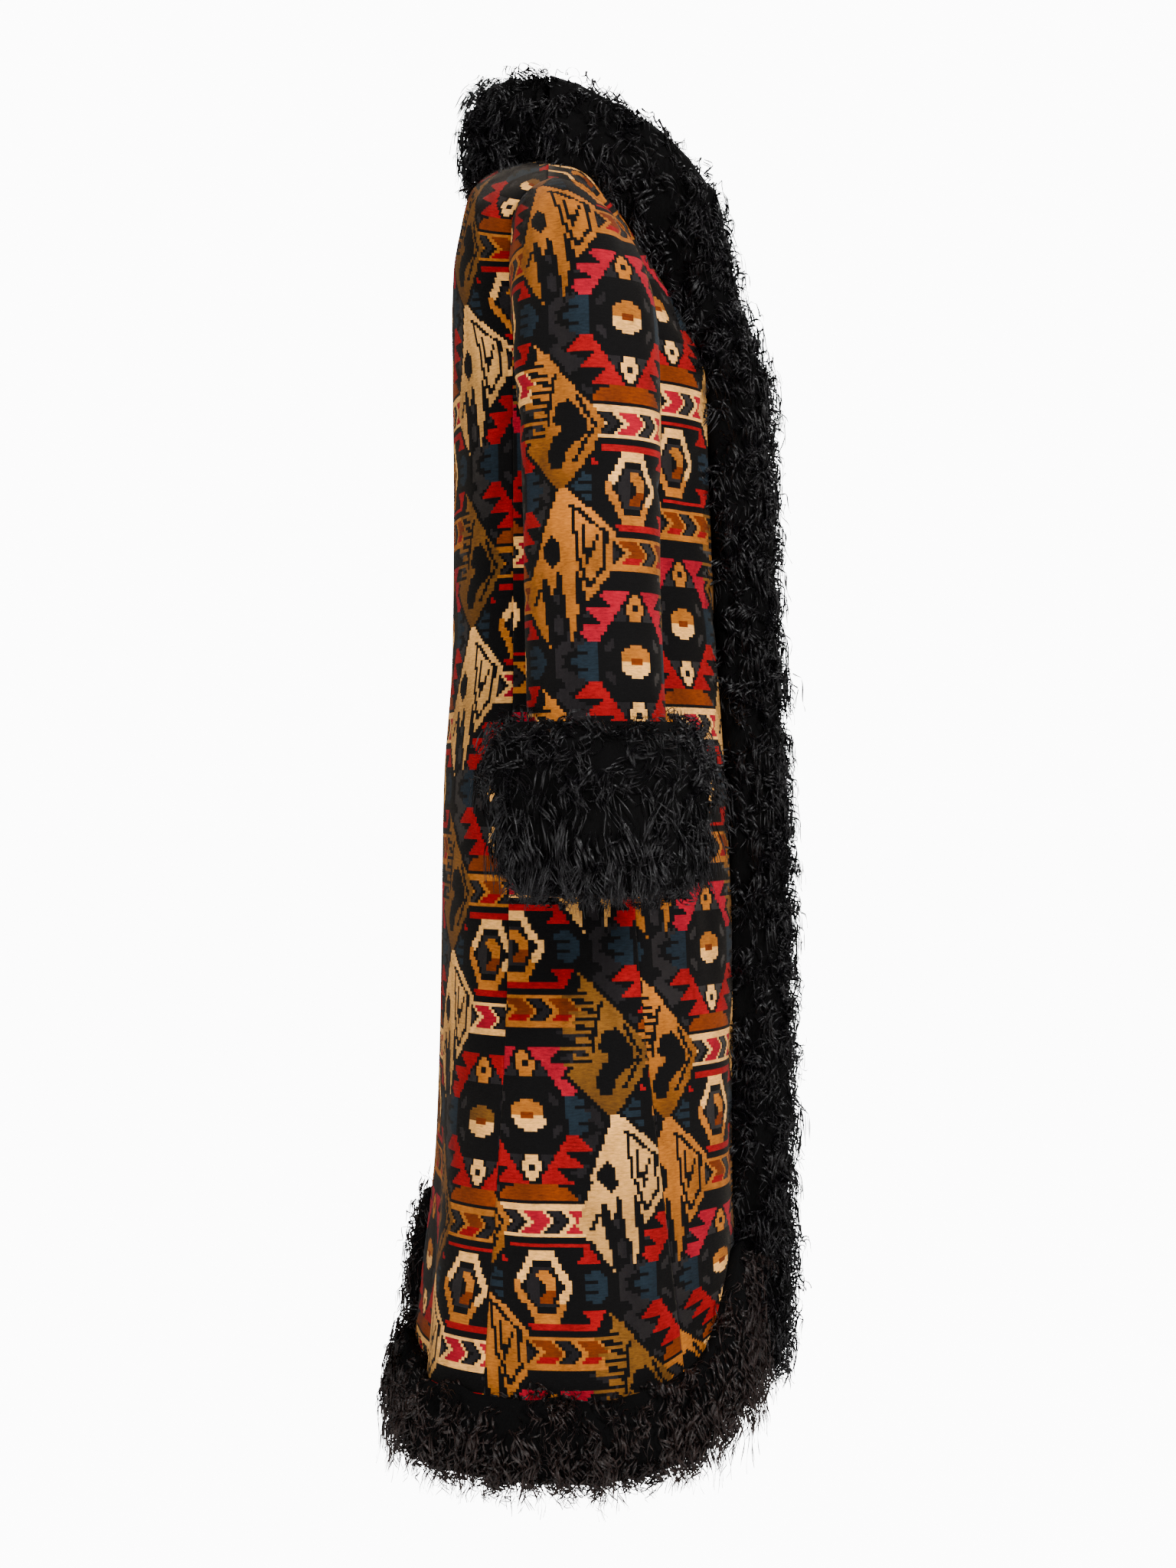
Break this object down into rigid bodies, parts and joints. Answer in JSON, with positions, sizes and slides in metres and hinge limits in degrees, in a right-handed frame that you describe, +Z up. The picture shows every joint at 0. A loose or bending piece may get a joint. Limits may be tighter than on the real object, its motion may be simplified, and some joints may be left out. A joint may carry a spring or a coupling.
{
  "type": "full-length velvet coat with curly fur trim",
  "caption": "Long straight velvet coat with a geometric woven pattern, curly black fur collar, front bands, cuffs and hem, in its worn shape.",
  "frame": {"origin": "middle of the neck opening, level with the top of the shoulders, where the wearer holds the coat up", "axes": "+Z up, along the coat's length; the fronts face -Y; the coat's right side is at -X"},
  "size_m": [0.8108, 0.4258, 1.3795],
  "materials": {
    "velvet": "cut pile in gold, cream, red, slate blue and black on a dark ribbed ground",
    "fur": "long curly black wool pile"
  },
  "bodies": {
    "root": {"front_right": "velvet", "front_left": "velvet", "side_right": "velvet", "side_left": "velvet", "back_right": "velvet", "back_left": "velvet", "sleeve_right": "velvet", "sleeve_left": "velvet", "fur_band_right": "fur", "fur_band_left": "fur", "fur_hem_right": "fur", "fur_hem_left": "fur", "fur_cuff_right": "fur", "fur_cuff_left": "fur", "fur_collar": "fur", "fur_vent": "fur"}
  },
  "joints": []
}
